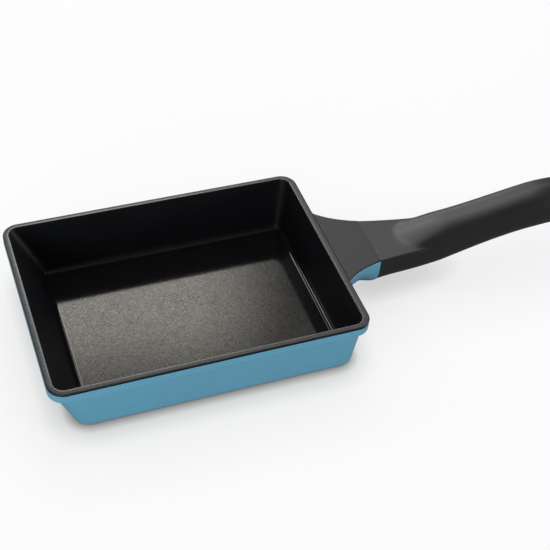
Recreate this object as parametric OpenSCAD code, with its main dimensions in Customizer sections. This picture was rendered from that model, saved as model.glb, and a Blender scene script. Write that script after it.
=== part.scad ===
// Rectangular rolled-omelette pan: a die-cast aluminium dish with a cast neck, a moulded handle
// that slides over the neck's tang, and one screw from below that holds the two together.
// Origin on the table under the middle of the rim. +X runs to the handle, +Z is up.

/* [Dish] */
// Length of the rim, along the handle
rim_length = 190; // [160:1:240]
// Width of the rim, across the handle
rim_width = 140; // [110:1:190]
// Height from the table to the top of the rim
dish_height = 40.4; // [36:0.1:56]
// Thickness of the floor
floor_thick = 3.2; // [2.4:0.1:5]
// Width of the flat rim, from its outer edge to the hollow
rim_flat = 3.5; // [3:0.1:5]
// Width of the flat rim at the handle
handle_rim_flat = 4.4; // [3:0.1:6]
// Plan radius of the rim's outer corners
rim_corner = 9.7; // [7:0.1:14]
// Rounding of the rim band's edges
rim_round = 1.2; // [0.6:0.1:1.6]
// Height of the thick band below the rim
band_height = 7.7; // [5:0.1:10]
// Step from the band in to the wall
band_step = 2.6; // [1.5:0.1:2.8]

/* [Walls] */
// Lean of the two long walls' outside, from the band to the table
side_lean = 3.8; // [2:0.1:5]
// Lean of the outside of the wall at the handle
handle_wall_lean = 1.8; // [1:0.1:5]
// Lean of the outside of the far wall, up which the omelette is rolled
far_wall_lean = 12.4; // [6:0.1:16]
// Inset of the floor's edge from the rim's outer edge, along the two long walls
floor_inset = 8.6; // [8.2:0.1:14]
// Inset of the floor's edge from the rim's outer edge at the handle
handle_floor_inset = 8.5; // [7.5:0.1:14]
// Inset of the floor's edge from the rim's outer edge at the far wall
far_floor_inset = 21.2; // [20:0.1:28]
// Plan radius of the wall's outer corners at the foot
foot_corner = 10; // [7:0.1:14]
// Rounding of the foot
foot_round = 3.9; // [2:0.1:5]
// Plan radius of the hollow's corners at the rim
hollow_corner = 6.2; // [4:0.1:9]
// Plan radius of the hollow's corners at the floor
floor_corner = 5.5; // [4.2:0.1:10]
// Rounding between the floor and the walls
floor_round = 3; // [1.5:0.1:4]

/* [Coats] */
// Thickness of the coats on the metal
coat = 0.2; // [0.15:0.05:0.4]
// How far the dark coat comes down the outside of the rim
coat_turn = 1.6; // [1.3:0.1:3]
// Height above the table where the coloured coat ends and the ground base begins
coat_foot = 0.6; // [0.4:0.1:1.5]

/* [Neck] */
// Length of the neck, from the rim to the handle
neck_length = 26.5; // [20:0.5:40]
// Width of the neck where it meets the handle
joint_width = 38.4; // [34:0.1:44]
// Length over which the neck's flare fades
flare_length = 18; // [15:0.5:22]
// How far the neck's flat top lies below the rim, at the rim
flat_drop = 1.7; // [1.5:0.1:3]
// Fall of the flat top away from the dish, in degrees
flat_fall = 4.3; // [2:0.1:6]
// Depth of the neck's widest line below the rim, at the joint
joint_axis_drop = 10; // [9:0.1:12]
// Depth of the neck's underside below its widest line
joint_belly = 18; // [16:0.1:20]

/* [Tang] */
// Length of the tang inside the handle
tang_length = 28; // [24:0.5:34]
// Width of the tang
tang_width = 22; // [18:0.5:26]
// Thickness of the tang
tang_thick = 11; // [9:0.1:11.6]
// Depth of the tang's upper face below the rim
tang_drop = 9; // [8.8:0.1:9.4]
// Gap all round the tang in the handle's socket
socket_gap = 0.3; // [0.2:0.05:0.5]

/* [Handle] */
// Length of the handle, from the joint to its end
handle_length = 162.5; // [145:0.5:200]
// Length of the handle's plain flat top before the grip rises out of it
flat_length = 19; // [15:0.5:26]
// Length over which the grip rises out of the flat top
swell_length = 33; // [26:0.5:40]
// Width of the grip where it has left the flat top
grip_width = 31; // [28:0.1:34]
// Width of the grip at its waist
waist_width = 28.4; // [26:0.1:31]
// Distance of the waist from the joint
waist_place = 92; // [75:0.5:110]
// Distance from the waist to where the grip has its full width again
waist_reach = 45; // [35:0.5:60]
// Rise of the grip's middle line from the joint to its level end
grip_rise = 15; // [8:0.5:22]
// Depth of the grip's middle line below the rim, before it rises
grip_drop = 14.7; // [13.5:0.1:16]
// Distance from the joint to where the grip's middle line begins to rise
rise_start = 16.5; // [8:0.5:26]
// Length over which the grip's middle line rises
rise_length = 114; // [90:1:135]
// Length of the rounding at the handle's end
end_round = 15; // [12:0.5:20]
// Share of the grip's thickness that is lost towards the handle's end
end_thin = 0.26; // [0.1:0.01:0.32]
// Length over which the grip thins
thin_length = 40; // [30:0.5:60]

/* [Hanging hole] */
// Radius of the hanging hole
hang_r = 4.5; // [3.5:0.1:5.5]
// Length of the hanging hole between its two sunk faces
hang_length = 17; // [12:0.5:18]
// Radius of the sunk faces round the hanging hole
hang_face_r = 7.5; // [7:0.1:8.5]
// Distance of the hanging hole from the handle's end
hang_place = 17; // [16:0.5:22]

/* [Screw] */
// Distance of the screw from the joint
screw_place = 15.5; // [13:0.5:17]
// Radius of the screw's thread
screw_r = 2.4; // [1.9:0.1:2.9]
// Length of the screw below its head
screw_length = 12; // [11:0.5:13]
// Radius of the screw's head
head_r = 4.75; // [4.4:0.05:5.2]
// Height of the screw's head
head_height = 3.3; // [2.6:0.1:3.5]
// Radius of the washer
washer_r = 5; // [4.8:0.05:5.4]
// Thickness of the washer
washer_thick = 1; // [0.8:0.1:1.2]
// Radius of the spring washer
spring_r = 4.6; // [4.2:0.05:4.8]
// Thickness of the spring washer
spring_thick = 1.2; // [1:0.1:1.4]
// Gap round the washers in the handle's counterbore
sink_gap = 0.75; // [0.4:0.05:1]
// Thickness of the handle between the counterbore and the socket
seat_thick = 2.5; // [2.2:0.1:3]
// Radius of the threaded insert in the tang
insert_r = 3.75; // [3.6:0.05:4.5]
// Length of the threaded insert
insert_length = 8; // [7:0.1:8.5]
// Gap round the screw in the insert, and round the insert in the tang
thread_gap = 0.1; // [0.05:0.05:0.2]

/* [Hidden] */
$fn = 32;
rim_x = rim_length / 2;
rim_y = rim_width / 2;
joint_x = rim_x + neck_length;
crest_x = joint_x + flat_length;
handle_end = joint_x + handle_length;
screw_x = joint_x + screw_place;
hang_x = handle_end - hang_place;
wall_height = dish_height - band_height;
hollow_depth = dish_height - floor_thick;
tang_top = dish_height - tang_drop;
tang_foot = tang_top - tang_thick;
seat_z = tang_foot - socket_gap - seat_thick;
// Gap round the screw in its clearance holes
screw_gap = 0.35;
screw_hole_r = screw_r + screw_gap;
// Depth of the drilled hole past the insert
drill_depth = 1.5;
// A cut goes this far past the face that it opens
past = 1;
// Steps round a rounded edge, along the neck, along the handle, and round a cross-section
round_steps = 3;
neck_steps = 14;
handle_steps = 46;
end_steps = 7;
section_sides = 48;
// Angle of the end's rounding at which the small flat tip begins
tip_angle = 84;
// Length at the handle's end that is thinned in full
thin_end = 10;
// Rounding of an edge that stays sharp, and height of a rounded disc in roundings
sharp = 0.01;
disc_share = 1.5;
// Where the neck starts, inside the wall
neck_root_x = rim_x - rim_flat;
// Length over which the neck's widest line climbs towards the rim, and how far
root_blend = 16;
root_climb = 4;
// Boxiness of the cross-sections: 2 is an ellipse and larger is squarer
joint_box = 2.6;
flat_box = 4;
round_box = 2;
// Height that the neck's body would reach above its widest line without the flat top
shoulder = 12;

// Smooth step from 0 to 1
function ease(t) = let (u = min(1, max(0, t))) u * u * (3 - 2 * u);
function blend(a, b, t) = a + (b - a) * t;
function arc(cx, cy, r, from, to) =
    [for (i = [0:round_steps]) let (a = from + (to - from) * i / round_steps)
        [cx + r * cos(a), cy + r * sin(a)]];

// Height of a rounded box with half-sizes a and b, at the distance y from its middle
function box_height(a, b, n, y) = b * pow(max(0, 1 - pow(min(1, abs(y) / a), n)), 1 / n);
function power_of(c, n) = sign(c) * pow(abs(c), 2 / n);

// Sizes of the neck and handle at a distance x along the pan
function waist(x) = (grip_width - waist_width) / 2 * pow((x - joint_x - waist_place) / waist_reach, 2);
function grip_half(x) = min(grip_width / 2, waist_width / 2 + waist(x));
function half_width(x) =
    grip_half(x) + (joint_width - grip_width) / 2 * exp((joint_x - x) / flare_length);
// 0 at the joint and 1 where the grip is round
function roundness(x) = ease((x - joint_x) / (flat_length + swell_length));
// 0 at the joint and 1 at the dish
function rootness(x) = ease((joint_x - x) / root_blend);
function mid_line(x) =
    dish_height - grip_drop + grip_rise * ease((x - joint_x - rise_start) / rise_length);
function axis_z(x) =
    mid_line(x) + (grip_drop - joint_axis_drop) * (1 - roundness(x)) + root_climb * rootness(x);
function flat_z(x) = dish_height - flat_drop - (x - rim_x) * tan(flat_fall);
function thinning(x) = 1 - end_thin * ease((x - handle_end + thin_end) / thin_length + 1);
function belly(x) = blend(joint_belly, grip_half(x), roundness(x)) * thinning(x);
function box_power(x) = blend(joint_box, round_box, max(roundness(x), rootness(x)));
// Height of the grip's crest above the widest line
function crest(x) =
    let (t = min(1, max(0, (x - crest_x) / swell_length)), low = flat_z(x) - axis_z(x))
    blend(low, grip_half(x), t * (3 - t * t) / 2) * thinning(x);

// A point of the cross-section at x, grown outward by g: a rounded belly below the widest line and,
// above it, a body cut off by the flat top, out of which the round crest rises
function section_point(x, angle, g) =
    let (w = half_width(x) + g, n = box_power(x), flat = flat_z(x) - axis_z(x) + g,
         y = w * cos(angle))
    angle > 180
        ? [w * power_of(cos(angle), n), (belly(x) + g) * power_of(sin(angle), n)]
        : [y, max(min(flat, box_height(w, shoulder + g, blend(flat_box, round_box, roundness(x)), y)),
                  x < crest_x ? 0 : box_height(w, crest(x) + g, round_box, y))];
function section(x, k, g) =
    [for (j = [0:section_sides - 1]) let (p = section_point(x, 360 * j / section_sides, g))
        [p[0] * k, axis_z(x) + p[1] * k]];

// A body that runs along X through cross-sections at the given stations, each [x, shrink factor]
module sweep(stations, g) {
    last = len(stations) - 1;
    points = [for (s = stations) for (p = section(s[0], s[1], g)) [s[0], p[0], p[1]]];
    sides = [for (i = [0:last - 1]) for (j = [0:section_sides - 1])
        let (k = (j + 1) % section_sides, a = i * section_sides, b = a + section_sides)
        [a + j, b + j, b + k, a + k]];
    near = [for (j = [0:section_sides - 1]) j];
    far = [for (j = [section_sides - 1:-1:0]) last * section_sides + j];
    polyhedron(points, concat([near, far], sides), convexity = 6);
}

// A disc with rounded lower and upper edges
module round_disc(r, h, low, high) {
    rotate_extrude()
        polygon(concat([[0, 0]], arc(r - low, low, low, -90, 0), arc(r - high, h - high, high, 0, 90),
                       [[0, h]]));
}

// The same disc at the four corners of a rectangle: insets from the rim at the far end, at the
// handle and at the sides, all measured to the disc's outer edge
module at_corners(far, near, side, r) {
    for (x = [-rim_x + far + r, rim_x - near - r], y = [-1, 1])
        translate([x, y * (rim_y - side - r), 0]) children();
}

// Outer shape of the dish without its neck, drawn in by g all round but not at the base
module dish_outside(g) {
    up = 1 - foot_round / wall_height;
    hull() {
        at_corners(band_step + far_wall_lean * up + g, band_step + handle_wall_lean * up + g,
                   band_step + side_lean * up + g, foot_corner - g)
            round_disc(foot_corner - g, foot_round * disc_share, foot_round - g, sharp);
        translate([0, 0, wall_height])
            at_corners(band_step + g, band_step + g, band_step + g, rim_corner - g)
                round_disc(rim_corner - g, past, sharp, sharp);
    }
    translate([0, 0, wall_height + g]) hull()
        at_corners(g, g, g, rim_corner - g)
            round_disc(rim_corner - g, band_height - 2 * g, rim_round, rim_round);
}

// The hollow of the dish, grown by g into the walls and the floor
module dish_hollow(g) {
    above = past / hollow_depth;
    side_slope = floor_inset - rim_flat;
    near_slope = handle_floor_inset - handle_rim_flat;
    far_slope = far_floor_inset - rim_flat;
    hull() {
        translate([0, 0, floor_thick - g])
            at_corners(far_floor_inset - g, handle_floor_inset - g, floor_inset - g, floor_corner + g)
                round_disc(floor_corner + g, floor_round * disc_share, floor_round, sharp);
        translate([0, 0, dish_height])
            at_corners(rim_flat - far_slope * above - g, handle_rim_flat - near_slope * above - g,
                       rim_flat - side_slope * above - g, hollow_corner + g)
                round_disc(hollow_corner + g, past, sharp, sharp);
    }
}

module neck_outside(g) {
    sweep([for (i = [0:neck_steps]) [blend(neck_root_x, joint_x, i / neck_steps), 1]], -g);
}

module pan_outside(g) {
    dish_outside(g);
    neck_outside(g);
}

// Both coats together: the skin between the finished surfaces and the metal
module coat_skin() {
    difference() {
        pan_outside(0);
        difference() {
            pan_outside(coat);
            dish_hollow(coat);
        }
        dish_hollow(0);
    }
}

// Where the dark coat lies: the hollow, the rim, its outer edge and the neck's flat top
module dark_zone() {
    translate([-rim_x - past, -rim_y - past, dish_height - coat_turn])
        cube([rim_length + neck_length + 2 * past, rim_width + 2 * past, coat_turn + past]);
    dish_hollow(coat + sharp);
    translate([rim_x - rim_flat, 0, flat_z(rim_x - rim_flat) - coat]) rotate([0, flat_fall, 0])
        translate([0, -rim_y, 0]) cube([neck_length * 2, rim_width, coat_turn + past]);
}

module dish_casting() {
    color([0.72, 0.73, 0.74]) difference() {
        union() {
            pan_outside(coat);
            translate([joint_x - past, -tang_width / 2, tang_foot])
                cube([tang_length + past, tang_width, tang_thick]);
        }
        dish_hollow(coat);
        translate([screw_x, 0, tang_foot - past])
            cylinder(r = insert_r + thread_gap, h = insert_length + past);
        translate([screw_x, 0, tang_foot]) cylinder(r = screw_hole_r, h = insert_length + drill_depth);
    }
}

module outer_coat() {
    color([0.33, 0.58, 0.68]) difference() {
        coat_skin();
        dark_zone();
        translate([-rim_x, -rim_y, -past])
            cube([rim_length, rim_width, coat_foot + past]);
    }
}

module nonstick_coat() {
    color([0.13, 0.13, 0.13]) intersection() {
        coat_skin();
        dark_zone();
    }
}

module threaded_insert() {
    color([0.62, 0.62, 0.6]) translate([screw_x, 0, tang_foot]) difference() {
        cylinder(r = insert_r, h = insert_length);
        translate([0, 0, -past]) cylinder(r = screw_r + thread_gap, h = insert_length + 2 * past);
    }
}

module handle() {
    straight_end = handle_end - end_round;
    stations = concat(
        [for (i = [0:handle_steps]) [blend(joint_x, straight_end, i / handle_steps), 1]],
        [for (i = [1:end_steps]) let (a = tip_angle * i / end_steps)
            [straight_end + end_round * sin(a), cos(a)]]);
    color([0.12, 0.12, 0.12]) difference() {
        sweep(stations, 0);
        translate([joint_x - past, -tang_width / 2 - socket_gap, tang_foot - socket_gap])
            cube([tang_length + past + socket_gap, tang_width + 2 * socket_gap,
                  tang_thick + 2 * socket_gap]);
        translate([screw_x, 0, seat_z - past]) cylinder(r = screw_hole_r, h = seat_thick + 2 * past);
        translate([screw_x, 0, 0]) cylinder(r = washer_r + sink_gap, h = seat_z);
        translate([hang_x, 0, 0]) cylinder(r = hang_r, h = dish_height * 2);
        translate([hang_x, 0, axis_z(hang_x) + hang_length / 2]) cylinder(r = hang_face_r, h = dish_height);
        translate([hang_x, 0, axis_z(hang_x) - hang_length / 2 - dish_height])
            cylinder(r = hang_face_r, h = dish_height);
    }
}

module flat_washer() {
    color([0.7, 0.7, 0.7]) translate([screw_x, 0, seat_z - washer_thick]) difference() {
        cylinder(r = washer_r, h = washer_thick);
        translate([0, 0, -past]) cylinder(r = screw_hole_r, h = washer_thick + 2 * past);
    }
}

// One turn with a gap, pressed flat by the screw
module spring_washer() {
    gap_width = 0.8;
    color([0.6, 0.6, 0.6]) translate([screw_x, 0, seat_z - washer_thick - spring_thick]) difference() {
        cylinder(r = spring_r, h = spring_thick);
        translate([0, 0, -past]) cylinder(r = screw_hole_r, h = spring_thick + 2 * past);
        rotate([0, 0, 30]) translate([0, -gap_width / 2, -past])
            cube([spring_r * 2, gap_width, spring_thick + 2 * past]);
    }
}

module handle_screw() {
    head_round = 1;
    slot_width = 1.1;
    slot_length = head_r * 1.2;
    slot_depth = head_height * 0.6;
    color([0.68, 0.68, 0.68])
        translate([screw_x, 0, seat_z - washer_thick - spring_thick - head_height]) difference() {
            union() {
                rotate_extrude()
                    polygon(concat([[0, 0]], arc(head_r - head_round, head_round, head_round, -90, 0),
                                   [[head_r, head_height], [0, head_height]]));
                cylinder(r = screw_r, h = head_height + screw_length);
            }
            for (turn = [0, 90]) rotate([0, 0, turn])
                translate([-slot_length / 2, -slot_width / 2, -past])
                    cube([slot_length, slot_width, slot_depth + past]);
        }
}

dish_casting();
outer_coat();
nonstick_coat();
threaded_insert();
handle();
flat_washer();
spring_washer();
handle_screw();
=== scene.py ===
# Looks of a rolled-omelette pan: blue enamel outside, dark lining inside, moulded grip.
import math
import bpy
import numpy as np
from mathutils import Matrix, Vector


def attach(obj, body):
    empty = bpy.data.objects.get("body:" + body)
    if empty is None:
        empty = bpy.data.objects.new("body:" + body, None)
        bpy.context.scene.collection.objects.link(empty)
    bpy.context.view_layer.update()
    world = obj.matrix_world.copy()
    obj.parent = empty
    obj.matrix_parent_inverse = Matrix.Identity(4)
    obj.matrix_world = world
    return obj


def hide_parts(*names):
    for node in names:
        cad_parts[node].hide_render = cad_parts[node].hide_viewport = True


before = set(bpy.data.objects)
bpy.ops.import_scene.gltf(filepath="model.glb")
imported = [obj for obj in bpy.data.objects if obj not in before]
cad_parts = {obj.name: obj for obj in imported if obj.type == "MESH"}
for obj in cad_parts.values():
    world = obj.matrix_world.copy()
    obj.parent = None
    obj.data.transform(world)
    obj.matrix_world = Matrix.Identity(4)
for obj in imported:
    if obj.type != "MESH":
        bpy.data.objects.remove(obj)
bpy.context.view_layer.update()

mm = 0.001

# ---- sizes shared by the pieces, as the solids have them, in mm
dish = {
    "rimX": 95.0, "rimY": 70.0, "height": 40.4, "floor": 3.2,
    "corner": 9.7, "bandHeight": 7.7, "bandStep": 2.6, "bandRound": 1.2,
    "lean": (1.8, 3.8, 12.4, 3.8),            # handle side, long side, far side, long side
    "footRound": 3.9, "footCorner": 10.0, "coatFoot": 0.6, "coatTurn": 1.6,
    "rimFlat": (4.4, 3.5, 3.5, 3.5), "floorInset": (8.5, 8.6, 21.2, 8.6), "floorRound": 3.0,
    "fillet": (3.0, 3.6, 4.1, 3.6), "hollowCorner": 6.2, "floorCorner": 5.5,
}
neck = {
    "jointX": 121.5, "flareLength": 18.0, "jointWidth": 38.4, "flatDrop": 1.7, "flatFall": 4.3,
    "axisDrop": 10.0, "belly": 18.0, "rootBlend": 16.0, "rootClimb": 4.0, "jointBox": 2.6,
    "shoulder": 12.0, "edgeRound": 0.5, "seam": 0.14, "rootRound": 3.0, "bandRound": 1.0, "topRound": 0.6,
}
grip = {
    "length": 162.5, "flatLength": 19.0, "swellLength": 33.0, "width": 31.0, "waistWidth": 28.4,
    "waistPlace": 92.0, "waistReach": 45.0, "rise": 15.0, "drop": 14.7, "riseStart": 16.5,
    "riseLength": 114.0, "endRound": 15.0, "tipShort": 0.1, "endThin": 0.26, "thinLength": 40.0,
    "thinEnd": 10.0, "creaseSoft": 1.0, "edgeSoft": 0.45, "columns": 120, "seam": 0.5,
    "fineEnd": 186.0, "fineStep": 0.5, "coarseEnd": 254.0, "coarseStep": 1.4,
}
fastening = {
    "screwX": 137.0, "tangFoot": 20.4, "seatThick": 2.5, "gap": 0.3, "sinkR": 5.75, "holeR": 2.75,
    "tangWidth": 22.0, "tangThick": 11.0, "tangLength": 28.0, "patch": 7.6,
}
hangHole = {"x": 267.0, "r": 4.5, "faceR": 7.5, "length": 17.0, "patch": 9.6}


def ease(t):
    u = np.clip(t, 0.0, 1.0)
    return u * u * (3 - 2 * u)


def blend(a, b, t):
    return a + (b - a) * t


# ---- meshes

def makeMesh(name, points, faces, materials, faceMaterial=None, sharpAngle=40):
    mesh = bpy.data.meshes.new(name)
    mesh.from_pydata([tuple(p) for p in np.asarray(points) * mm], [], faces)
    mesh.validate()
    piece = bpy.data.objects.new(name, mesh)
    bpy.context.scene.collection.objects.link(piece)
    for m in materials:
        mesh.materials.append(m)
    if faceMaterial is not None:
        mesh.polygons.foreach_set("material_index", faceMaterial)
    mesh.polygons.foreach_set("use_smooth", [True] * len(mesh.polygons))
    mesh.set_sharp_from_angle(angle=math.radians(sharpAngle))
    mesh.update()
    return piece


def ringFaces(first, second, count, closed=True):
    # quads between two rows of points that start at these indices
    last = count if closed else count - 1
    return [(first + j, first + (j + 1) % count, second + (j + 1) % count, second + j)
            for j in range(last)]


sideSteps = (44, 66, 44, 66)
arcSteps = 20


def roundedRing(insets, radius, heights):
    # rounded rectangle, counterclockwise from the handle side; one inset and height for each side
    reach = [dish["rimX"] - insets[0], dish["rimY"] - insets[1],
             dish["rimX"] - insets[2], dish["rimY"] - insets[3]]
    signs = [(1, 1), (-1, 1), (-1, -1), (1, -1)]
    centres = []
    for sx, sy in signs:
        alongX = reach[0] if sx > 0 else reach[2]
        alongY = reach[1] if sy > 0 else reach[3]
        centres.append((sx * (alongX - radius), sy * (alongY - radius)))
    points = []
    for k in range(4):
        angle = math.radians(90 * k)
        after = centres[k]
        edge = np.array([math.cos(angle), math.sin(angle)]) * radius
        start, end = np.array(centres[k - 1]) + edge, np.array(after) + edge
        for i in range(1, sideSteps[k]):
            p = blend(start, end, i / sideSteps[k])
            points.append((p[0], p[1], heights[k]))
        nextHeight = heights[(k + 1) % 4]
        for i in range(arcSteps + 1):
            t = i / arcSteps
            a = angle + math.pi / 2 * t
            points.append((after[0] + radius * math.cos(a), after[1] + radius * math.sin(a),
                           heights[k] + (nextHeight - heights[k]) * float(ease(t))))
    return points


leanAngle = [math.atan(v / (dish["height"] - dish["bandHeight"])) for v in dish["lean"]]


def outsideRings():
    # enamel from the ground base up under the edge of the dark coat
    d = dish
    under = 0.05                                 # how far it lies below that coat's surface
    wallHeight = d["height"] - d["bandHeight"]
    up = 1 - d["footRound"] / wallHeight
    rings = []
    startAngle = math.asin(d["coatFoot"] / d["footRound"] - 1)
    footInset = [d["bandStep"] + v * up for v in d["lean"]]
    for i in range(9):
        t = i / 8
        angles = [blend(startAngle, -a, t) for a in leanAngle]
        insets = [f + d["footRound"] * (1 - math.cos(a)) for f, a in zip(footInset, angles)]
        radius = d["footCorner"] - d["footRound"] * (1 - math.cos(angles[1]))
        rings.append((insets, radius, [d["footRound"] * (1 + math.sin(a)) for a in angles]))
    low = rings[-1]
    fillet = 0.9
    top = [d["bandStep"] + v * fillet / wallHeight for v in d["lean"]]
    for t in (0.02, 0.2, 0.3, 0.4, 0.5, 0.6, 0.7, 0.8, 0.98, 1.0):
        rings.append(([blend(a, b, t) for a, b in zip(low[0], top)], blend(low[1], d["corner"], t),
                      [blend(h, wallHeight - fillet, t) for h in low[2]]))
    for i in range(1, 6):                        # hollow corner under the band
        b = math.pi / 2 * i / 5
        insets = [d["bandStep"] - fillet * (1 - math.cos(b)) + v * fillet / wallHeight * (1 - math.sin(b))
                  for v in d["lean"]]
        rings.append((insets, d["corner"], [wallHeight - fillet * (1 - math.sin(b))] * 4))
    r = d["bandRound"]
    for i in range(7):                           # lower edge of the band
        b = -math.pi / 2 + math.pi / 2 * i / 6
        inset = r * (1 - math.cos(b)) + under
        rings.append(([inset] * 4, d["corner"] - inset, [wallHeight + r * (1 + math.sin(b))] * 4))
    for z in (wallHeight + r + 0.3, d["height"] - 3.4, d["height"] - 2.0, d["height"] - d["coatTurn"]):
        rings.append(([under] * 4, d["corner"] - under, [z] * 4))
    return rings


# rows of the lining's profile at which its parts begin; the last two are counted from its end
profileRows = {"rim": 5, "groove": 11, "lip": 21, "wall": 23, "fillet": -16, "floor": -4}


def liningProfile(k):
    # (inset, height) down one side, from the coat's outer edge over the rim and wall to the floor
    d = dish
    top = d["height"]
    inner = d["rimFlat"][k]
    points = [(0, top - d["coatTurn"]), (0, top - 1.2)]
    for i in range(9):
        b = math.pi / 2 * i / 8
        points.append((1.1 * (1 - math.cos(b)), top - 1.1 + 1.0 * math.sin(b)))
    groove = inner - 1.3
    points += [(groove - 0.14, top - 0.1), (groove - 0.06, top - 0.15), (groove + 0.02, top - 0.15),
               (groove + 0.08, top - 0.02), (groove + 0.16, top), (inner - 0.7, top)]
    # the wall's line touches the solid's rounding at the floor
    centre = (d["floorInset"][k] + d["floorRound"], d["floor"] + d["floorRound"])
    across, down = centre[0] - inner, top - centre[1]
    slope = math.atan(across / down) - math.asin(d["floorRound"] / math.hypot(across, down))
    lip = 0.5
    t = lip * math.tan((math.pi / 2 - slope) / 2)
    for i in range(6):
        b = blend(math.pi / 2, slope, i / 5)
        points.append((inner - t + lip * math.cos(b), top - lip + lip * math.sin(b)))
    foot = inner + (top - d["floor"]) * math.tan(slope)
    r = d["fillet"][k]
    t = r * math.tan((math.pi / 2 - slope) / 2)
    wallEnd = (foot - t * math.sin(slope), d["floor"] + t * math.cos(slope))
    wallTop = points[-1]
    for s in (0.015, 0.1, 0.22, 0.34, 0.46, 0.58, 0.7, 0.82, 0.93, 0.985):
        points.append((blend(wallTop[0], wallEnd[0], s), blend(wallTop[1], wallEnd[1], s)))
    for i in range(13):
        b = blend(slope, math.pi / 2, i / 12)
        points.append((foot + t - r * math.cos(b), d["floor"] + r * (1 - math.sin(b))))
    edge = foot + t
    for step in (0.2, 0.6, 1.2):
        points.append((edge + step, d["floor"]))
    return points


def liningRings():
    sides = [liningProfile(k) for k in range(4)]
    rings = []
    count = len(sides[0])
    grooveStart, wallStart = profileRows["groove"], profileRows["wall"]
    filletStart = count + profileRows["fillet"]
    for i in range(count):
        insets = [s[i][0] for s in sides]
        heights = [s[i][1] for s in sides]
        if i < grooveStart:
            radius = dish["corner"] - insets[1]
        elif i < wallStart:
            t = (i - grooveStart) / (wallStart - grooveStart)
            radius = blend(dish["corner"] - insets[1], dish["hollowCorner"], t)
        elif i < filletStart:
            t = (i - wallStart) / (filletStart - wallStart)
            radius = blend(dish["hollowCorner"], dish["floorCorner"], t)
        else:
            depth = insets[1] - sides[1][filletStart][0]
            radius = dish["floorCorner"] - depth
        rings.append((insets, max(1.6, radius), heights))
    return rings


def stackRings(rings):
    points, faces = [], []
    count = len(roundedRing(*rings[0]))
    for i, ring in enumerate(rings):
        points += roundedRing(*ring)
        if i:
            faces += ringFaces((i - 1) * count, i * count, count)
    return points, faces, count


# ---- cross-sections of the neck and the grip

def boxHeight(a, b, n, y):
    return b * np.maximum(0, 1 - np.minimum(1, np.abs(y) / a) ** n) ** (1 / n)


def powerOf(c, n):
    return np.sign(c) * np.abs(c) ** (2 / n)


def gripHalf(x):
    g = grip
    away = (x - neck["jointX"] - g["waistPlace"]) / g["waistReach"]
    waist = (g["width"] - g["waistWidth"]) / 2 * away ** 2
    return min(g["width"] / 2, g["waistWidth"] / 2 + waist)


def halfWidth(x):
    return gripHalf(x) + (neck["jointWidth"] - grip["width"]) / 2 * math.exp(
        (neck["jointX"] - x) / neck["flareLength"])


def roundness(x):
    return float(ease((x - neck["jointX"]) / (grip["flatLength"] + grip["swellLength"])))


def rootness(x):
    return float(ease((neck["jointX"] - x) / neck["rootBlend"]))


def axisZ(x):
    g = grip
    middle = dish["height"] - g["drop"] + g["rise"] * float(
        ease((x - neck["jointX"] - g["riseStart"]) / g["riseLength"]))
    return middle + (g["drop"] - neck["axisDrop"]) * (1 - roundness(x)) + neck["rootClimb"] * rootness(x)


def flatZ(x):
    return dish["height"] - neck["flatDrop"] - (x - dish["rimX"]) * math.tan(math.radians(neck["flatFall"]))


def thinning(x):
    g = grip
    end = neck["jointX"] + g["length"]
    return 1 - g["endThin"] * float(ease((x - end + g["thinEnd"]) / g["thinLength"] + 1))


def belly(x):
    return blend(neck["belly"], gripHalf(x), roundness(x)) * thinning(x)


def crest(x):
    t = min(1, max(-0.6, (x - neck["jointX"] - grip["flatLength"]) / grip["swellLength"]))
    return blend(flatZ(x) - axisZ(x), gripHalf(x), t * (3 - t * t) / 2) * thinning(x)


def boxPower(x):
    return blend(neck["jointBox"], 2.0, max(roundness(x), rootness(x)))


def softMax(a, b, k):
    return 0.5 * (a + b + np.sqrt((a - b) ** 2 + k * k))


def softMin(a, b, k):
    return 0.5 * (a + b - np.sqrt((a - b) ** 2 + k * k))


# ---- materials

def newGroup(name, inputs, outputs):
    tree = bpy.data.node_groups.new(name, "ShaderNodeTree")
    for label, kind, value in inputs:
        socket = tree.interface.new_socket(name=label, in_out="INPUT", socket_type=kind)
        socket.default_value = value
    for label, kind in outputs:
        tree.interface.new_socket(name=label, in_out="OUTPUT", socket_type=kind)
    return tree, tree.nodes.new("NodeGroupInput"), tree.nodes.new("NodeGroupOutput")


def addNode(tree, kind, **values):
    node = tree.nodes.new(kind)
    for key, value in values.items():
        setattr(node, key, value)
    return node


def mathNode(tree, operation, a, b=None, clamp=False):
    node = addNode(tree, "ShaderNodeMath", operation=operation, use_clamp=clamp)
    for index, value in enumerate((a, b)):
        if value is None:
            continue
        if isinstance(value, (int, float)):
            node.inputs[index].default_value = value
        else:
            tree.links.new(value, node.inputs[index])
    return node.outputs[0]


def rangeNode(tree, value, fromLow, fromHigh, toLow, toHigh):
    node = addNode(tree, "ShaderNodeMapRange", clamp=True)
    tree.links.new(value, node.inputs["Value"])
    for label, number in (("From Min", fromLow), ("From Max", fromHigh),
                          ("To Min", toLow), ("To Max", toHigh)):
        if isinstance(number, (int, float)):
            node.inputs[label].default_value = number
        else:
            tree.links.new(number, node.inputs[label])
    return node.outputs["Result"]


def noiseNode(tree, vector, scale, detail, rough):
    node = addNode(tree, "ShaderNodeTexNoise", noise_dimensions="3D")
    tree.links.new(vector, node.inputs["Vector"])
    for label, value in (("Scale", scale), ("Detail", detail), ("Roughness", rough)):
        if isinstance(value, (int, float)):
            node.inputs[label].default_value = value
        else:
            tree.links.new(value, node.inputs[label])
    return node.outputs["Fac"]


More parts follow.
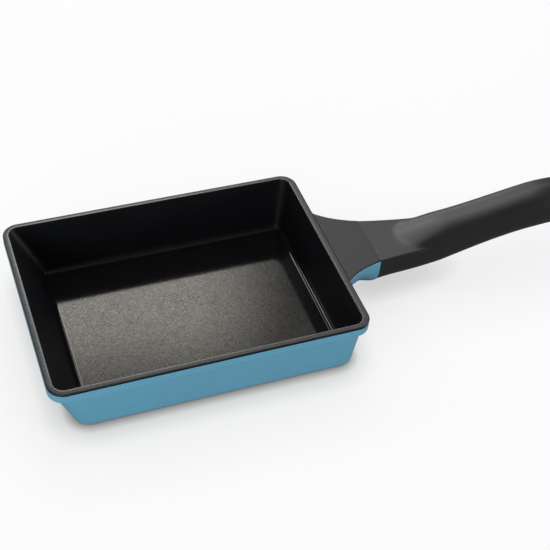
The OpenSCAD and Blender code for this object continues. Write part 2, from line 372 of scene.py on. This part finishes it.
def buildGrain():
    # fine sprayed or moulded grain: uneven tone, uneven gloss and a height
    tree, given, put = newGroup("sprayGrain", [
        ("Colour", "NodeSocketColor", (0.05, 0.05, 0.05, 1)), ("Grain Size", "NodeSocketFloat", 900.0),
        ("Tone Change", "NodeSocketFloat", 0.2), ("Patch Size", "NodeSocketFloat", 30.0),
        ("Patch Change", "NodeSocketFloat", 0.1), ("Gloss Low", "NodeSocketFloat", 0.3),
        ("Gloss High", "NodeSocketFloat", 0.4)],
        [("Colour", "NodeSocketColor"), ("Roughness", "NodeSocketFloat"), ("Height", "NodeSocketFloat")])
    place = addNode(tree, "ShaderNodeTexCoord").outputs["Object"]
    fine = noiseNode(tree, place, given.outputs["Grain Size"], 3.0, 0.6)
    patch = noiseNode(tree, place, given.outputs["Patch Size"], 3.0, 0.55)
    tones = []
    for value, change in ((fine, "Tone Change"), (patch, "Patch Change")):
        away = mathNode(tree, "SUBTRACT", value, 0.5)
        tones.append(mathNode(tree, "MULTIPLY", away, given.outputs[change]))
    factor = mathNode(tree, "ADD", mathNode(tree, "ADD", *tones), 1.0)
    scale = addNode(tree, "ShaderNodeVectorMath", operation="SCALE")
    tree.links.new(given.outputs["Colour"], scale.inputs[0])
    tree.links.new(factor, scale.inputs["Scale"])
    tree.links.new(scale.outputs[0], put.inputs["Colour"])
    mixed = mathNode(tree, "ADD", mathNode(tree, "MULTIPLY", fine, 0.6),
                     mathNode(tree, "MULTIPLY", patch, 0.4))
    gloss = rangeNode(tree, mixed, 0.35, 0.65, given.outputs["Gloss Low"], given.outputs["Gloss High"])
    tree.links.new(gloss, put.inputs["Roughness"])
    tree.links.new(fine, put.inputs["Height"])
    return tree


def buildFlecks():
    # mask of small mineral flakes under the clear top of the coat, in soft patches
    tree, given, put = newGroup("mineralFlakes", [
        ("Size", "NodeSocketFloat", 1000.0), ("Level", "NodeSocketFloat", 0.4),
        ("Flake Change", "NodeSocketFloat", 0.5), ("Patch Size", "NodeSocketFloat", 130.0),
        ("Patch Change", "NodeSocketFloat", 0.5)],
        [("Mask", "NodeSocketFloat")])
    place = addNode(tree, "ShaderNodeTexCoord").outputs["Object"]
    cells = addNode(tree, "ShaderNodeTexVoronoi", feature="F1")
    tree.links.new(place, cells.inputs["Vector"])
    tree.links.new(given.outputs["Size"], cells.inputs["Scale"])
    split = addNode(tree, "ShaderNodeSeparateColor")
    tree.links.new(cells.outputs["Color"], split.inputs["Color"])
    patch = noiseNode(tree, place, given.outputs["Patch Size"], 2.0, 0.6)
    total = given.outputs["Level"]
    for value, change in ((split.outputs["Red"], "Flake Change"), (patch, "Patch Change")):
        away = mathNode(tree, "SUBTRACT", value, 0.5)
        total = mathNode(tree, "ADD", total, mathNode(tree, "MULTIPLY", away, given.outputs[change]))
    tree.links.new(rangeNode(tree, total, 0.0, 1.0, 0.0, 1.0), put.inputs["Mask"])
    return tree


def buildScratches():
    # long fine marks of a grinding belt, along X
    tree, given, put = newGroup("beltMarks", [
        ("Fineness", "NodeSocketFloat", 900.0), ("Stretch", "NodeSocketFloat", 0.02)],
        [("Mask", "NodeSocketFloat"), ("Height", "NodeSocketFloat")])
    place = addNode(tree, "ShaderNodeTexCoord").outputs["Object"]
    squeeze = addNode(tree, "ShaderNodeVectorMath", operation="MULTIPLY")
    tree.links.new(place, squeeze.inputs[0])
    join = addNode(tree, "ShaderNodeCombineXYZ")
    tree.links.new(given.outputs["Stretch"], join.inputs["X"])
    join.inputs["Y"].default_value = 1.0
    join.inputs["Z"].default_value = 1.0
    tree.links.new(join.outputs[0], squeeze.inputs[1])
    marks = noiseNode(tree, squeeze.outputs[0], given.outputs["Fineness"], 5.0, 0.65)
    tree.links.new(rangeNode(tree, marks, 0.35, 0.7, 0.0, 1.0), put.inputs["Mask"])
    tree.links.new(marks, put.inputs["Height"])
    return tree


grainGroup, fleckGroup, beltGroup = buildGrain(), buildFlecks(), buildScratches()


def useGroup(tree, group, **values):
    node = addNode(tree, "ShaderNodeGroup", node_tree=group)
    for label, value in values.items():
        node.inputs[label.replace("_", " ")].default_value = value
    return node


def newMaterial(name, **sockets):
    material = bpy.data.materials.new(name)
    material.use_nodes = True
    shader = material.node_tree.nodes["Principled BSDF"]
    for label, value in sockets.items():
        shader.inputs[label.replace("_", " ")].default_value = value
    return material, material.node_tree, shader


def bumpFrom(tree, shader, height, distance, strength=1.0):
    bump = addNode(tree, "ShaderNodeBump")
    bump.inputs["Distance"].default_value = distance
    bump.inputs["Strength"].default_value = strength
    tree.links.new(height, bump.inputs["Height"])
    tree.links.new(bump.outputs[0], shader.inputs["Normal"])


def makeCoat(name, look):
    # a sprayed coat, with mineral flakes where the look asks for them
    material, tree, shader = newMaterial(name, IOR=look["ior"])
    grain = useGroup(tree, grainGroup, Colour=look["colour"], Grain_Size=look["grain"],
                     Tone_Change=look["tone"], Patch_Size=look["patch"], Patch_Change=look["patchTone"],
                     Gloss_Low=look["gloss"][0], Gloss_High=look["gloss"][1])
    tree.links.new(grain.outputs["Roughness"], shader.inputs["Roughness"])
    tree.links.new(grain.outputs["Colour"], shader.inputs["Base Color"])
    if "flakes" in look:
        level, change, patchChange = look["flakes"]
        flakes = useGroup(tree, fleckGroup, Size=look["flakeSize"], Level=level, Flake_Change=change,
                          Patch_Size=look["flakePatch"], Patch_Change=patchChange)
        tree.links.new(flakes.outputs["Mask"], shader.inputs["Coat Weight"])
        shader.inputs["Coat Roughness"].default_value = look["topGloss"]
    shader.inputs["Specular IOR Level"].default_value = look["specular"]
    shader.inputs["Specular Tint"].default_value = look.get("tint", (1, 1, 1, 1))
    bumpFrom(tree, shader, grain.outputs["Height"], look["bump"])
    return material


enamelLook = {"colour": (0.104, 0.303, 0.43, 1), "ior": 1.5, "specular": 0.4, "grain": 420.0, "tone": 0.05,
              "patch": 22.0, "patchTone": 0.08, "gloss": (0.3, 0.4), "bump": 0.00001}
liningLook = {"colour": (0.0052, 0.0056, 0.0064, 1), "ior": 1.5, "specular": 0.13,
              "tint": (1.0, 0.89, 0.62, 1), "grain": 800.0, "tone": 0.9, "patch": 45.0, "patchTone": 0.5,
              "gloss": (0.06, 0.1), "bump": 0.00002, "flakes": (0.365, 0.5, 0.22), "flakeSize": 1800.0,
              "flakePatch": 200.0, "topGloss": 0.08}
filletLook = dict(liningLook, gloss=(0.1, 0.14), specular=0.2, flakes=(0.4, 0.2, 0.2))
# darker, rougher copy of the lining for the walls, the back wall's foot and the coat's turned edges: painted
# shade
wallShadeLook = {"colour": (0.0034, 0.0038, 0.0046, 1), "ior": 1.5, "specular": 0.14, "grain": 800.0, "tone": 0.9,
            "patch": 45.0, "patchTone": 0.5, "gloss": (0.42, 0.5), "bump": 0.00003}
# lighter copy of the lining for the rim top and the neck's flat, where they face the lamps: painted light
rimLitLook = dict(wallShadeLook, colour=(0.014, 0.014, 0.014, 1), gloss=(0.42, 0.5), specular=0.43)
# palest, glossiest copy for the groove and the rim's inner band and lip: painted highlight where that edge
# catches the light
lipHighlightLook = dict(rimLitLook, colour=(0.02, 0.0195, 0.0185, 1), gloss=(0.22, 0.3), specular=0.6)
gripLook = {"colour": (0.003, 0.003, 0.003, 1), "ior": 1.5, "specular": 0.6, "grain": 700.0, "tone": 0.3,
            "patch": 35.0, "patchTone": 0.2, "gloss": (0.38, 0.44), "bump": 0.000012}

enamel = makeCoat("blueEnamel", enamelLook)
lining = makeCoat("darkLining", liningLook)
rimLitCoat = makeCoat("rimPaintedLight", rimLitLook)
lipHighlightCoat = makeCoat("lipPaintedHighlight", lipHighlightLook)
wallShadeCoat = makeCoat("wallPaintedShade", wallShadeLook)
filletDark = makeCoat("darkFillet", filletLook)
phenolic = makeCoat("blackGrip", gripLook)


def makeMetal(name, look):
    material, tree, shader = newMaterial(name, Metallic=1.0)
    marks = useGroup(tree, beltGroup, Fineness=look["fineness"], Stretch=look["stretch"])
    mix = addNode(tree, "ShaderNodeMix", data_type="RGBA")
    tree.links.new(marks.outputs["Mask"], mix.inputs["Factor"])
    mix.inputs["A"].default_value = look["dull"]
    mix.inputs["B"].default_value = look["bright"]
    tree.links.new(mix.outputs["Result"], shader.inputs["Base Color"])
    tree.links.new(rangeNode(tree, marks.outputs["Mask"], 0.0, 1.0, look["gloss"][1], look["gloss"][0]),
                   shader.inputs["Roughness"])
    bumpFrom(tree, shader, marks.outputs["Height"], look["bump"])
    return material


groundLook = {"fineness": 1400.0, "stretch": 0.015, "dull": (0.42, 0.43, 0.44, 1),
              "bright": (0.68, 0.69, 0.7, 1), "gloss": (0.26, 0.45), "bump": 0.00003}
steelLook = {"fineness": 2600.0, "stretch": 0.3, "dull": (0.45, 0.45, 0.46, 1),
             "bright": (0.68, 0.68, 0.69, 1), "gloss": (0.2, 0.35), "bump": 0.00001}
metals = {"dish_casting": ("groundAluminium", groundLook), "handle_screw": ("screwSteel", steelLook),
          "flat_washer": ("washerSteel", steelLook), "spring_washer": ("springSteel", steelLook),
          "threaded_insert": ("insertSteel", steelLook)}
for nodeName, (name, look) in metals.items():
    material = makeMetal(name, look)
    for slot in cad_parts[nodeName].material_slots:
        slot.material = material
print("materials made")


# ---- camera, where the photograph was taken from

view = {"azimuth": -23.91, "elevation": 44.99, "roll": 5.61, "distance": 701.24, "right": 54.93, "up": -0.41,
        "focus": 1179.43, "frame": 550}
az, el, roll = (math.radians(view[k]) for k in ("azimuth", "elevation", "roll"))
back = Vector((math.sin(az) * math.cos(el), -math.cos(az) * math.cos(el), math.sin(el)))
level = Vector((math.cos(az), math.sin(az), 0))
above = back.cross(level)
across = math.cos(roll) * level + math.sin(roll) * above
upward = -math.sin(roll) * level + math.cos(roll) * above
spot = (view["right"] * across + view["up"] * upward + view["distance"] * back
        + Vector((0, 0, dish["height"]))) * mm
cameraData = bpy.data.cameras.new("camera")
cameraData.sensor_width = 36
cameraData.lens = view["focus"] / view["frame"] * 36
cameraData.clip_start = 0.01
camera = bpy.data.objects.new("camera", cameraData)
camera.matrix_world = Matrix.Translation(spot) @ Matrix((across, upward, back)).transposed().to_4x4()
bpy.context.scene.collection.objects.link(camera)
bpy.context.scene.camera = camera


# ---- dish: the enamel outside and the lining

def solidify(piece, thickness):
    shell = piece.modifiers.new("thickness", "SOLIDIFY")
    shell.thickness = thickness * mm
    shell.offset = -1
    shell.use_even_offset = True
    shell.use_quality_normals = True
    smooth = piece.modifiers.new("flatFaces", "WEIGHTED_NORMAL")
    smooth.keep_sharp = True


def wallX(z):
    # plane of the handle-side wall, and of the band above it
    wallHeight = dish["height"] - dish["bandHeight"]
    wall = dish["rimX"] - dish["bandStep"] - dish["lean"][0] * (wallHeight - z) / wallHeight
    return blend(wall, dish["rimX"], ease((z - wallHeight + 1.2) / 1.8))


def flare(x, z):
    # rounding between the neck and what it grows from
    toBand = ease((z - dish["height"] + dish["bandHeight"] + 2) / 3)
    size = blend(neck["rootRound"], neck["bandRound"], toBand)
    inside = np.clip(1 - (x - wallX(z)) / size, 0, 1)
    return size * (1 - np.sqrt(1 - inside ** 2))


def shoulderY(width, z, height):
    # half-width of the neck above its widest line
    return width * max(0, 1 - (z / height) ** 4) ** 0.25


def neckSection(x, shrink):
    # right half of the outline, from the middle of the flat top round to the middle of the belly
    w, n, axis = halfWidth(x) - shrink, boxPower(x), axisZ(x)
    flat = flatZ(x) - axis - shrink
    shoulder = neck["shoulder"] - shrink
    under = belly(x) - shrink
    edgeY = shoulderY(w, flat, shoulder)
    r = neck["edgeRound"]
    top = [(edgeY * s, flat) for s in np.linspace(0, 1, 26)[:-1]]
    top = [(y, z) for y, z in top if y < edgeY - r * 1.2] + [(edgeY - r * 1.15, flat)]
    lowZ = flat - r
    lowY = shoulderY(w, lowZ, shoulder)
    rounding = []
    for i in range(1, 7):
        t = i / 6
        rounding.append(((1 - t) ** 2 * (edgeY - r * 1.1) + 2 * t * (1 - t) * edgeY + t * t * lowY,
                         (1 - t) ** 2 * flat + 2 * t * (1 - t) * flat + t * t * lowZ))
    side = [(shoulderY(w, z, shoulder), z) for z in np.linspace(lowZ, 0, 15)[1:]]
    low = []
    for i in range(1, 49):
        a = math.pi / 2 * i / 48
        low.append((w * float(powerOf(math.cos(a), n)), -under * float(powerOf(math.sin(a), n))))
    low[-1] = (0.0, low[-1][1])
    return top, rounding, side, low, axis


def neckRow(x, shrink, part):
    top, rounding, side, low, axis = neckSection(x, shrink)
    # the flat has a fixed number of points, spread evenly
    edge = top[-1][0]
    top = [(edge * s, top[-1][1]) for s in np.linspace(0, 1, 24)]
    half = np.array(top + rounding if part == "top" else [rounding[-1]] + side + low)
    z = half[:, 1] + axis
    grow = flare(x, z)
    y = half[:, 0]
    if part == "top":
        r = neck["topRound"]                     # rounding up to the band
        near = np.clip(1 - (x - dish["rimX"]) / r, 0, 1)
        z = z + r * (1 - np.sqrt(1 - near ** 2)) * (half[:, 1] > half[0, 1] - 0.02)
        y = y + grow * np.clip(y / max(edge, 1), 0, 1) ** 6
    else:
        # the belly moves out along its own normal
        width, depth = half[0, 0], -half[-1, 1]
        ny = np.clip(y / max(width, 1), 0, 1)
        nz = np.where(half[:, 1] < 0, half[:, 1] / max(depth, 1), 0)
        size = np.maximum(1e-6, np.hypot(ny, nz))
        y = y + grow * ny / size
        z = z + grow * nz / size
    right = np.stack([np.full(len(y), x), y, z], 1)
    left = right[::-1].copy()
    left[:, 1] *= -1
    return np.concatenate([left, right[1:]] if part == "top" else [right, left[1:]])


def neckStations():
    start = dish["rimX"] - dish["rimFlat"][1]
    seam = neck["seam"]
    xs = list(np.linspace(start, dish["rimX"], 12))
    xs += [dish["rimX"] + v for v in (0.08, 0.2, 0.35, 0.5, 0.7, 1.0, 1.5, 2.2)]
    xs += list(np.linspace(dish["rimX"] + 3, neck["jointX"] - seam * 2, 34))
    stations = [(x, 0) for x in xs]
    for i in range(1, 5):
        a = math.pi / 2 * i / 4
        stations.append((neck["jointX"] - seam + seam * math.sin(a), seam * (1 - math.cos(a))))
    return stations


def neckStrip(part):
    rows = [neckRow(x, shrink, part) for x, shrink in neckStations()]
    count = len(rows[0])
    faces = []
    for i in range(len(rows) - 1):
        for f in ringFaces(i * count, (i + 1) * count, count, closed=False):
            faces.append(f if part == "top" else f[::-1])
    return np.concatenate(rows), faces


def joinParts(*parts):
    points, faces = [], []
    for p, f in parts:
        shift = len(points)
        points += [tuple(v) for v in p]
        faces += [tuple(i + shift for i in face) for face in f]
    return points, faces


points, faces, count = stackRings(outsideRings())
neckPoints, neckFaces = neckStrip("side")
points, faces = joinParts((points, faces), (neckPoints, [f[::-1] for f in neckFaces]))
enamelPiece = makeMesh("enamel_coat", points, faces, [enamel])
solidify(enamelPiece, 0.19)
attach(enamelPiece, "root")
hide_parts("outer_coat")
print("enamel made:", len(faces), "faces")

liningSlots = [lining, rimLitCoat, lipHighlightCoat, wallShadeCoat, filletDark]
floorSlot, rimLitSlot, lipHighlightSlot, wallShadeSlot, filletSlot = range(5)
rings = liningRings()
points, faces, count = stackRings(rings)


def slotAfter(i):
    # material slot of the faces that follow this row of the profile
    rows = profileRows
    # the coat's turned outer edge takes the wall copy (painted shade), the rim top the rim copy (painted
    # light), the groove and inner lip the lip copy (painted highlight)
    for end, slot in ((rows["rim"], wallShadeSlot), (rows["groove"], rimLitSlot), (rows["lip"], lipHighlightSlot),
                      (len(rings) + rows["fillet"], wallShadeSlot), (len(rings) + rows["floor"], filletSlot)):
        if i < end:
            return slot
    return floorSlot


ringMaterial = []
for i in range(len(rings) - 1):
    kinds = [slotAfter(i)] * count
    if kinds[0] == filletSlot:                   # the foot of the back wall stays as matt as the wall
        # it also takes the wall copy's darker colour: painted shade, as on the wall
        backStart = sideSteps[0] - 1 + arcSteps // 2
        backEnd = backStart + sideSteps[1] + arcSteps
        kinds[backStart:backEnd] = [wallShadeSlot] * (backEnd - backStart)
    ringMaterial += kinds
# the floor, drawn in to its middle
base = (len(rings) - 1) * count
edge = np.array(points[base:base + count])
middle = np.array([edge[:, 0].mean(), 0.0, dish["floor"]])
floorRows = 15
for i in range(1, floorRows):
    start = len(points)
    points += [tuple(p) for p in middle + (edge - middle) * (1 - i / floorRows)]
    faces += ringFaces(start - count, start, count)
    ringMaterial += [floorSlot] * count
points.append(tuple(middle))
start = len(points) - 1 - count
faces += [(start + j, start + (j + 1) % count, len(points) - 1) for j in range(count)]
ringMaterial += [floorSlot] * count
neckPoints, neckFaces = neckStrip("top")
points, faces = joinParts((points, faces), (neckPoints, neckFaces))
strips = len(neckStations()) - 1
# the coat's rounded edge above the enamel takes the wall copy: painted shade
edgeFaces = 4                                    # dark edge above the enamel
flatFaces = len(neckFaces) // strips - 2 * edgeFaces
ringMaterial += ([wallShadeSlot] * edgeFaces + [rimLitSlot] * flatFaces + [wallShadeSlot] * edgeFaces) * strips
liningPiece = makeMesh("nonstick_lining", points, faces, liningSlots, ringMaterial)
solidify(liningPiece, 0.19)
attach(liningPiece, "root")
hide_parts("nonstick_coat")
print("lining made:", len(faces), "faces")


# ---- grip

straightEnd = neck["jointX"] + grip["length"] - grip["endRound"]
endReach = grip["endRound"] - grip["tipShort"]


def gripStations():
    seam = grip["seam"]
    first = neck["jointX"]
    stations = []
    for i in range(5):                           # rounded edge at the joint
        a = math.pi / 2 * i / 4
        stations.append((first + seam * (1 - math.cos(a)), 1.0, seam * (1 - math.sin(a))))
    g = grip
    xs = list(np.arange(first + 0.8, g["fineEnd"], g["fineStep"]))
    xs += list(np.arange(g["fineEnd"], g["coarseEnd"], g["coarseStep"]))
    xs += list(np.linspace(g["coarseEnd"] + g["fineStep"], straightEnd, 20))
    stations += [(x, 1.0, 0.0) for x in xs]
    for i in range(1, 21):
        a = math.pi / 2 * i / 21
        stations.append((straightEnd + endReach * math.sin(a), math.cos(a), 0.0))
    return stations


half = grip["columns"]
spread = np.linspace(0, 1, half // 2 + 1) ** 1.5
quarter = math.pi / 2 * spread
topAngles = np.concatenate([quarter, (math.pi - quarter[::-1])[1:]])     # 0 to pi


def gripTop(x, y, shrink=0.0):
    # height of the upper surface above the widest line
    w = halfWidth(x) - shrink
    flat = flatZ(x) - axisZ(x) - shrink
    power = blend(4.0, 2.0, roundness(x))
    body = boxHeight(w, neck["shoulder"] - shrink, power, y)
    level = softMin(np.full_like(y, flat), body, grip["edgeSoft"])
    tube = boxHeight(w, crest(x) - shrink, 2.0, y)
    return np.maximum(0, softMax(level, tube, grip["creaseSoft"]) - 0.02) * np.where(np.abs(y) >= w, 0, 1)


def gripBottom(x, y, shrink=0.0):
    w = halfWidth(x) - shrink
    return -boxHeight(w, belly(x) - shrink, boxPower(x), y)


def gripRow(x, k, shrink):
    w = halfWidth(x) - shrink
    upperY = w * np.cos(topAngles)
    upperZ = gripTop(x, upperY, shrink)
    lowAngles = topAngles[1:-1] + math.pi
    n = boxPower(x)
    lowY = w * powerOf(np.cos(lowAngles), n)
    lowZ = (belly(x) - shrink) * powerOf(np.sin(lowAngles), n)
    y = np.concatenate([upperY, lowY])
    z = np.concatenate([upperZ, lowZ])
    return np.stack([np.full(len(y), x), y * k, axisZ(x) + z * k], 1)


def endShrink(x):
    return math.sqrt(max(0, 1 - max(0, (x - straightEnd) / endReach) ** 2))


def surfaceZ(x, y, upper):
    k = endShrink(x)
    height = gripTop if upper else gripBottom
    return axisZ(x) + k * float(height(x, np.array([y / k]))[0])


stations = gripStations()
rows = [gripRow(*s) for s in stations]
around = len(rows[0])
points = [tuple(p) for p in np.concatenate(rows)]
grid = {}
for i in range(len(rows) - 1):
    for j in range(around):
        grid[(i, j)] = (i * around + j, i * around + (j + 1) % around,
                        (i + 1) * around + (j + 1) % around, (i + 1) * around + j)
stationX = np.array([s[0] for s in stations])


def openPatch(x, reach, upper):
    # takes a block of faces out of the grip round an opening, and gives its border as vertex indices
    i0 = int(np.searchsorted(stationX, x - reach))
    i1 = int(np.searchsorted(stationX, x + reach))
    row = rows[(i0 + i1) // 2]
    if upper:
        columns = [j for j in range(half + 1) if abs(row[j, 1]) < reach]
    else:
        columns = [j for j in range(half + 1, around) if abs(row[j, 1]) < reach]
    j0, j1 = min(columns), max(columns)
    for i in range(i0, i1):
        for j in range(j0, j1):
            grid.pop((i, j))
    border = [(i0, j) for j in range(j0, j1)] + [(i, j1) for i in range(i0, i1)]
    border += [(i1, j) for j in range(j1, j0, -1)] + [(i, j0) for i in range(i1, i0, -1)]
    return [i * around + j for i, j in border]


def addLoop(loopPoints, previous, extra, reverse):
    start = len(points)
    points.extend(loopPoints)
    now = list(range(start, start + len(loopPoints)))
    n = len(now)
    for a in range(n):
        face = (previous[a], previous[(a + 1) % n], now[(a + 1) % n], now[a])
        extra.append(face[::-1] if reverse else face)
    return now


def sinkLoops(x, border, profile, upper, extra):
    # loops from a border on the surface in to a circle, and on along a profile of (radius, height)
    start = np.array([points[v] for v in border])
    angles = np.arctan2(start[:, 1], start[:, 0] - x)
    firstR = profile[0][0]
    now = border
    for t in (0.25, 0.5, 0.75, 1.0):
        ringX = blend(start[:, 0], x + firstR * np.cos(angles), t)
        ringY = blend(start[:, 1], firstR * np.sin(angles), t)
        now = addLoop([(a, b, surfaceZ(a, b, upper)) for a, b in zip(ringX, ringY)], now, extra, False)
    for r, kind, z in profile[1:]:
        loop = []
        for a in angles:
            px, py = x + r * math.cos(a), r * math.sin(a)
            loop.append((px, py, surfaceZ(px, py, upper) + z if kind == "surface" else z))
        now = addLoop(loop, now, extra, False)
    return now, angles


extra = []
# hanging hole, open from both sides
faceTop = axisZ(hangHole["x"]) + hangHole["length"] / 2
faceLow = axisZ(hangHole["x"]) - hangHole["length"] / 2
bigR, smallR = hangHole["faceR"], hangHole["r"]


def hangProfile(side, face):
    # side is 1 on top and -1 below
    return [(bigR + 0.75, "surface", 0), (bigR + 0.4, "surface", -0.08 * side),
            (bigR + 0.14, "surface", -0.28 * side), (bigR + 0.02, "surface", -0.6 * side),
            (bigR, "level", face + 0.75 * side), (bigR - 0.12, "level", face + 0.3 * side),
            (bigR - 0.5, "level", face + 0.04 * side), (bigR - 0.9, "level", face),
            (smallR + 0.9, "level", face), (smallR + 0.5, "level", face - 0.06 * side),
            (smallR + 0.15, "level", face - 0.3 * side), (smallR, "level", face - 0.8 * side),
            (smallR, "level", face - 3 * side)]


topBorder = openPatch(hangHole["x"], hangHole["patch"], True)
lowBorder = openPatch(hangHole["x"], hangHole["patch"], False)
topEnd, topAngle = sinkLoops(hangHole["x"], topBorder, hangProfile(1, faceTop), True, extra)
lowEnd, lowAngle = sinkLoops(hangHole["x"], lowBorder, hangProfile(-1, faceLow), False, extra)
print("hanging hole borders:", len(topBorder), len(lowBorder))
# the two bores meet: the lower border runs the other way round, so it is matched by angle
order = [int(np.argmin(np.abs(np.angle(np.exp(1j * (lowAngle - a)))))) for a in topAngle]
n = len(topEnd)
for a in range(n):
    b = (a + 1) % n
    extra.append((topEnd[a], topEnd[b], lowEnd[order[b]], lowEnd[order[a]]))

# counterbore of the screw, from below
seat = fastening["tangFoot"] - fastening["gap"] - fastening["seatThick"]
sinkR, holeR = fastening["sinkR"], fastening["holeR"]
border = openPatch(fastening["screwX"], fastening["patch"], False)
end, angles = sinkLoops(fastening["screwX"], border, [
    (sinkR + 0.8, "surface", 0), (sinkR + 0.35, "surface", 0.1), (sinkR + 0.08, "surface", 0.4),
    (sinkR, "surface", 0.9), (sinkR, "level", seat - 0.4), (sinkR - 0.12, "level", seat - 0.1),
    (sinkR - 0.4, "level", seat), (holeR, "level", seat), (holeR, "level", fastening["tangFoot"] - 0.4)],
    False, extra)
points.append((fastening["screwX"], 0, fastening["tangFoot"] - 0.4))
extra += [(end[a], end[(a + 1) % len(end)], len(points) - 1) for a in range(len(end))]

# socket for the tang, in the end that meets the neck
tangZ = fastening["tangFoot"] + fastening["tangThick"] / 2
halfY, halfZ = fastening["tangWidth"] / 2 + fastening["gap"], fastening["tangThick"] / 2 + fastening["gap"]
now = list(range(around))
socketEnd = neck["jointX"] + fastening["tangLength"] + fastening["gap"]
socket = []
for v in now:
    dy, dz = points[v][1], points[v][2] - tangZ
    s = 1 / max(abs(dy) / halfY, abs(dz) / halfZ)
    socket.append((dy * s, tangZ + dz * s))
for x in (neck["jointX"], socketEnd):
    now = addLoop([(x, y, z) for y, z in socket], now, extra, True)
points.append((socketEnd, 0, tangZ))
extra += [(now[(a + 1) % around], now[a], len(points) - 1) for a in range(around)]

# rounded end
tip = len(points)
points.append((straightEnd + endReach, 0, axisZ(straightEnd + endReach)))
start = (len(rows) - 1) * around
extra += [(start + j, start + (j + 1) % around, tip) for j in range(around)]
gripPiece = makeMesh("grip", points, list(grid.values()) + extra, [phenolic], sharpAngle=50)
smooth = gripPiece.modifiers.new("flatFaces", "WEIGHTED_NORMAL")
smooth.keep_sharp = True
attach(gripPiece, "root")
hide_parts("handle")
print("grip made:", len(gripPiece.data.polygons), "faces")


# ---- floor, light

studio = {"world": 0.12, "floor": 0.28, "floorSeen": 0.1, "floorLift": 0.872,
          "paintedContactShadow": ((0.06, 0.2), (0.018, 0.55), (0.006, 0.9)), "aimHeight": 0.02}
lamps = {
    "key": {"place": (0.17, 0.96, 0.935), "size": (0.74, 0.52), "power": 8.1, "fade": (0.3, 1.0)},
    "window": {"place": (-0.85, 1.05, 0.66), "size": (0.8, 0.7), "power": 8.0, "fade": (0.5, 1.0)},
    "side": {"place": (0.92, 1.0, 1.0), "size": (0.5, 0.4), "power": 2.1, "fade": (0.5, 1.0)},
    "edge": {"place": (0.66, 0.76, 1.06), "size": (0.5, 0.4), "power": 0.75, "fade": (0.5, 1.0)},
    "over": {"place": (0.15, -0.14, 1.3), "size": (0.8, 0.7), "power": 5.2, "fade": (0.2, 1.0)},
    "back": {"place": (0.1, 1.5, 0.42), "size": (1.9, 0.7), "power": 10.0, "fade": (0.6, 1.0)},
    "fill": {"place": (-0.9, -1.25, 0.42), "size": (1.0, 0.8), "power": 22.0},
    "low": {"place": (1.7, -0.5, 0.24), "size": (0.6, 0.4), "power": 17.0},
    "top": {"place": (0.24, 0.46, 1.25), "size": (1.1, 0.85), "power": 11.0, "fade": (0.3, 1.0)},
}

# the floor: darker for the light that it throws back than for the camera; close to the pan its glow for the
# camera is darkened by ambient occlusion, a painted contact shadow
floorMaterial, tree, shader = newMaterial("paleFloor", Roughness=0.9)
shader.inputs["Specular IOR Level"].default_value = 0.0
seen = addNode(tree, "ShaderNodeLightPath").outputs["Is Camera Ray"]
tone = rangeNode(tree, seen, 0.0, 1.0, studio["floor"], studio["floorSeen"])
join = addNode(tree, "ShaderNodeCombineColor")
for label in ("Red", "Green", "Blue"):
    tree.links.new(tone, join.inputs[label])
tree.links.new(join.outputs[0], shader.inputs["Base Color"])
lift = mathNode(tree, "MULTIPLY", seen, studio["floorLift"])
for distance, depth in studio["paintedContactShadow"]:
    # ambient occlusion darkens the floor's glow near the pan: painted contact shadow
    near = addNode(tree, "ShaderNodeAmbientOcclusion", samples=8)
    near.inputs["Distance"].default_value = distance
    lift = mathNode(tree, "MULTIPLY", lift, rangeNode(tree, near.outputs["AO"], 0.0, 1.0, 1 - depth, 1.0))
shader.inputs["Emission Color"].default_value = (1, 1, 1, 1)
tree.links.new(lift, shader.inputs["Emission Strength"])
floorMesh = bpy.data.meshes.new("floor")
floorMesh.from_pydata([(-6, -6, 0), (6, -6, 0), (6, 6, 0), (-6, 6, 0)], [], [(0, 1, 2, 3)])
floorMesh.materials.append(floorMaterial)
floor = bpy.data.objects.new("floor", floorMesh)
bpy.context.scene.collection.objects.link(floor)

world = bpy.data.worlds.new("studio")
world.use_nodes = True
bpy.context.scene.world = world
tree = world.node_tree
background = tree.nodes["Background"]
background.inputs["Color"].default_value = (1, 1, 1, 1)
seen = addNode(tree, "ShaderNodeLightPath").outputs["Is Camera Ray"]
tree.links.new(rangeNode(tree, seen, 0.0, 1.0, studio["world"], 1.0), background.inputs["Strength"])


def addLamp(name, look):
    data = bpy.data.lights.new(name, "AREA")
    data.shape = "RECTANGLE"
    data.size, data.size_y = look["size"]
    data.energy = look["power"]
    lamp = bpy.data.objects.new(name, data)
    lamp.location = look["place"]
    aim = Vector((0, 0, studio["aimHeight"])) - lamp.location
    lamp.rotation_euler = aim.to_track_quat("-Z", "Y").to_euler()
    bpy.context.scene.collection.objects.link(lamp)
    if "fade" in look:                           # bright in its middle, dark at its edges
        data.use_nodes = True
        tree = data.node_tree
        parts = addNode(tree, "ShaderNodeSeparateXYZ")
        tree.links.new(addNode(tree, "ShaderNodeTexCoord").outputs["UV"], parts.inputs[0])
        both = []
        for axis in ("X", "Y"):
            away = mathNode(tree, "ABSOLUTE", mathNode(tree, "SUBTRACT", parts.outputs[axis], 0.5))
            fade = addNode(tree, "ShaderNodeMapRange", interpolation_type="SMOOTHSTEP")
            tree.links.new(away, fade.inputs["Value"])
            for label, value in (("From Min", look["fade"][0] / 2), ("From Max", look["fade"][1] / 2),
                                 ("To Min", 1.0), ("To Max", 0.0)):
                fade.inputs[label].default_value = value
            both.append(fade.outputs["Result"])
        tree.links.new(mathNode(tree, "MULTIPLY", *both), tree.nodes["Emission"].inputs["Strength"])


for name, look in lamps.items():
    addLamp(name + "Box", look)
bpy.context.scene.view_settings.view_transform = "Standard"
print("stage made")
